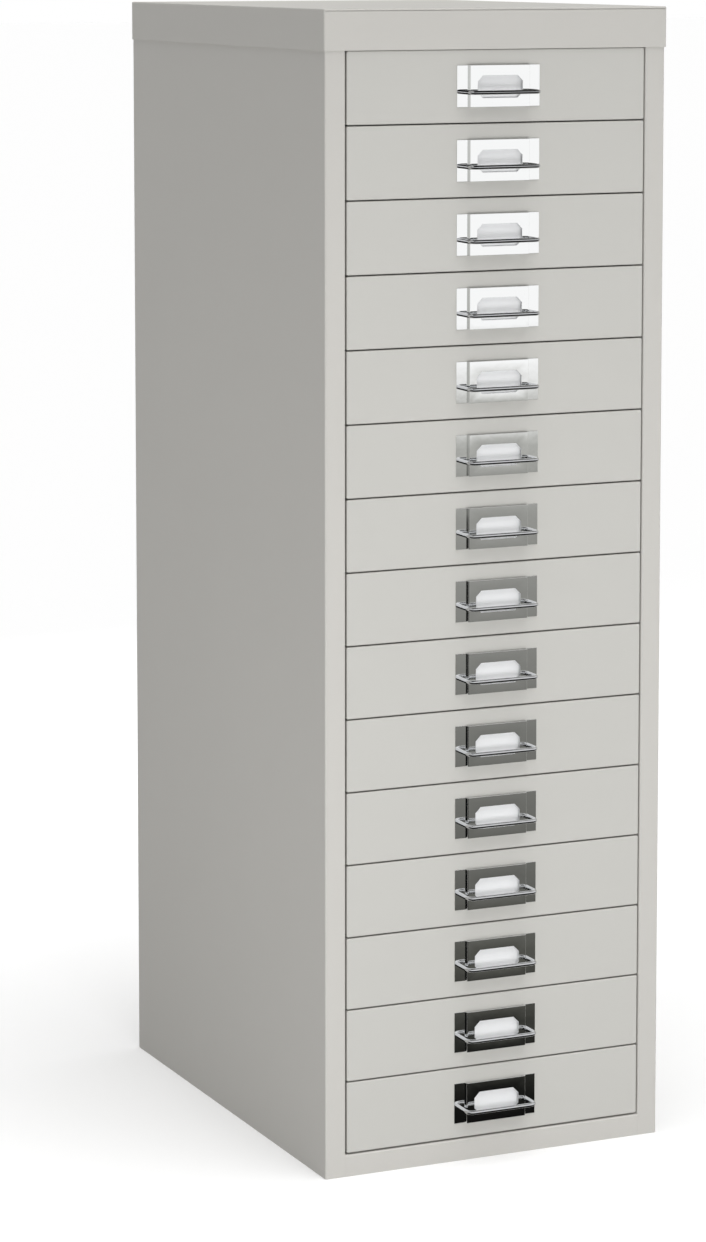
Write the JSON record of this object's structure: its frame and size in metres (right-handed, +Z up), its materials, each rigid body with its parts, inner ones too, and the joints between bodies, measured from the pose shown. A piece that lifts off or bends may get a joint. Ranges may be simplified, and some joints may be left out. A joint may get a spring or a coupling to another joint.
{
  "type": "multi-drawer cabinet",
  "caption": "Tall floor-standing folded steel cabinet with a stack of shallow sliding drawers, chrome label plates with wire pulls and a lapped top cap.",
  "frame": {"origin": "on the floor, at the middle of the whole footprint, wire pulls included", "axes": "+Z up, drawers open towards -Y, +X to the right of someone facing the drawers"},
  "size_m": [0.279, 0.3946, 0.86],
  "materials": {
    "case_paint": "light warm grey powder coat with a fine texture, on folded steel sheet",
    "drawer_paint": "the same light warm grey powder coat, inside and out",
    "pull_chrome": "bright mirror chrome on pressed plate and bent wire",
    "label_card": "blank white label card with a thin clear front",
    "galvanised_steel": "bare galvanised steel, dull with faint spangle",
    "rivet_aluminium": "domed blind rivets, plain"
  },
  "bodies": {
    "cabinet": {"left_side_panel": "case_paint", "right_side_panel": "case_paint", "back_panel": "case_paint", "base_panel": "case_paint", "top_cap": "case_paint", "bottom_front_rail": "case_paint", "top_front_rail": "case_paint", "left_front_post": "case_paint", "right_front_post": "case_paint", "left_rear_post": "case_paint", "right_rear_post": "case_paint", "left_drawer_runners": "galvanised_steel", "right_drawer_runners": "galvanised_steel", "back_panel_rivets": "rivet_aluminium"},
    "drawer_01": {"drawer_01_tray": "drawer_paint", "drawer_01_pull": "pull_chrome", "drawer_01_card": "label_card"},
    "drawer_02": {"drawer_02_tray": "drawer_paint", "drawer_02_pull": "pull_chrome", "drawer_02_card": "label_card"},
    "drawer_03": {"drawer_03_tray": "drawer_paint", "drawer_03_pull": "pull_chrome", "drawer_03_card": "label_card"},
    "drawer_04": {"drawer_04_tray": "drawer_paint", "drawer_04_pull": "pull_chrome", "drawer_04_card": "label_card"},
    "drawer_05": {"drawer_05_tray": "drawer_paint", "drawer_05_pull": "pull_chrome", "drawer_05_card": "label_card"},
    "drawer_06": {"drawer_06_tray": "drawer_paint", "drawer_06_pull": "pull_chrome", "drawer_06_card": "label_card"},
    "drawer_07": {"drawer_07_tray": "drawer_paint", "drawer_07_pull": "pull_chrome", "drawer_07_card": "label_card"},
    "drawer_08": {"drawer_08_tray": "drawer_paint", "drawer_08_pull": "pull_chrome", "drawer_08_card": "label_card"},
    "drawer_09": {"drawer_09_tray": "drawer_paint", "drawer_09_pull": "pull_chrome", "drawer_09_card": "label_card"},
    "drawer_10": {"drawer_10_tray": "drawer_paint", "drawer_10_pull": "pull_chrome", "drawer_10_card": "label_card"},
    "drawer_11": {"drawer_11_tray": "drawer_paint", "drawer_11_pull": "pull_chrome", "drawer_11_card": "label_card"},
    "drawer_12": {"drawer_12_tray": "drawer_paint", "drawer_12_pull": "pull_chrome", "drawer_12_card": "label_card"},
    "drawer_13": {"drawer_13_tray": "drawer_paint", "drawer_13_pull": "pull_chrome", "drawer_13_card": "label_card"},
    "drawer_14": {"drawer_14_tray": "drawer_paint", "drawer_14_pull": "pull_chrome", "drawer_14_card": "label_card"},
    "drawer_15": {"drawer_15_tray": "drawer_paint", "drawer_15_pull": "pull_chrome", "drawer_15_card": "label_card"}
  },
  "joints": [
    {"name": "drawer_01_slide", "type": "slide", "parent": "cabinet", "child": "drawer_01", "axis": [0, -1, 0], "range_m": [0, 0.28]},
    {"name": "drawer_02_slide", "type": "slide", "parent": "cabinet", "child": "drawer_02", "axis": [0, -1, 0], "range_m": [0, 0.28]},
    {"name": "drawer_03_slide", "type": "slide", "parent": "cabinet", "child": "drawer_03", "axis": [0, -1, 0], "range_m": [0, 0.28]},
    {"name": "drawer_04_slide", "type": "slide", "parent": "cabinet", "child": "drawer_04", "axis": [0, -1, 0], "range_m": [0, 0.28]},
    {"name": "drawer_05_slide", "type": "slide", "parent": "cabinet", "child": "drawer_05", "axis": [0, -1, 0], "range_m": [0, 0.28]},
    {"name": "drawer_06_slide", "type": "slide", "parent": "cabinet", "child": "drawer_06", "axis": [0, -1, 0], "range_m": [0, 0.28]},
    {"name": "drawer_07_slide", "type": "slide", "parent": "cabinet", "child": "drawer_07", "axis": [0, -1, 0], "range_m": [0, 0.28]},
    {"name": "drawer_08_slide", "type": "slide", "parent": "cabinet", "child": "drawer_08", "axis": [0, -1, 0], "range_m": [0, 0.28]},
    {"name": "drawer_09_slide", "type": "slide", "parent": "cabinet", "child": "drawer_09", "axis": [0, -1, 0], "range_m": [0, 0.28]},
    {"name": "drawer_10_slide", "type": "slide", "parent": "cabinet", "child": "drawer_10", "axis": [0, -1, 0], "range_m": [0, 0.28]},
    {"name": "drawer_11_slide", "type": "slide", "parent": "cabinet", "child": "drawer_11", "axis": [0, -1, 0], "range_m": [0, 0.28]},
    {"name": "drawer_12_slide", "type": "slide", "parent": "cabinet", "child": "drawer_12", "axis": [0, -1, 0], "range_m": [0, 0.28]},
    {"name": "drawer_13_slide", "type": "slide", "parent": "cabinet", "child": "drawer_13", "axis": [0, -1, 0], "range_m": [0, 0.28]},
    {"name": "drawer_14_slide", "type": "slide", "parent": "cabinet", "child": "drawer_14", "axis": [0, -1, 0], "range_m": [0, 0.28]},
    {"name": "drawer_15_slide", "type": "slide", "parent": "cabinet", "child": "drawer_15", "axis": [0, -1, 0], "range_m": [0, 0.28]}
  ]
}
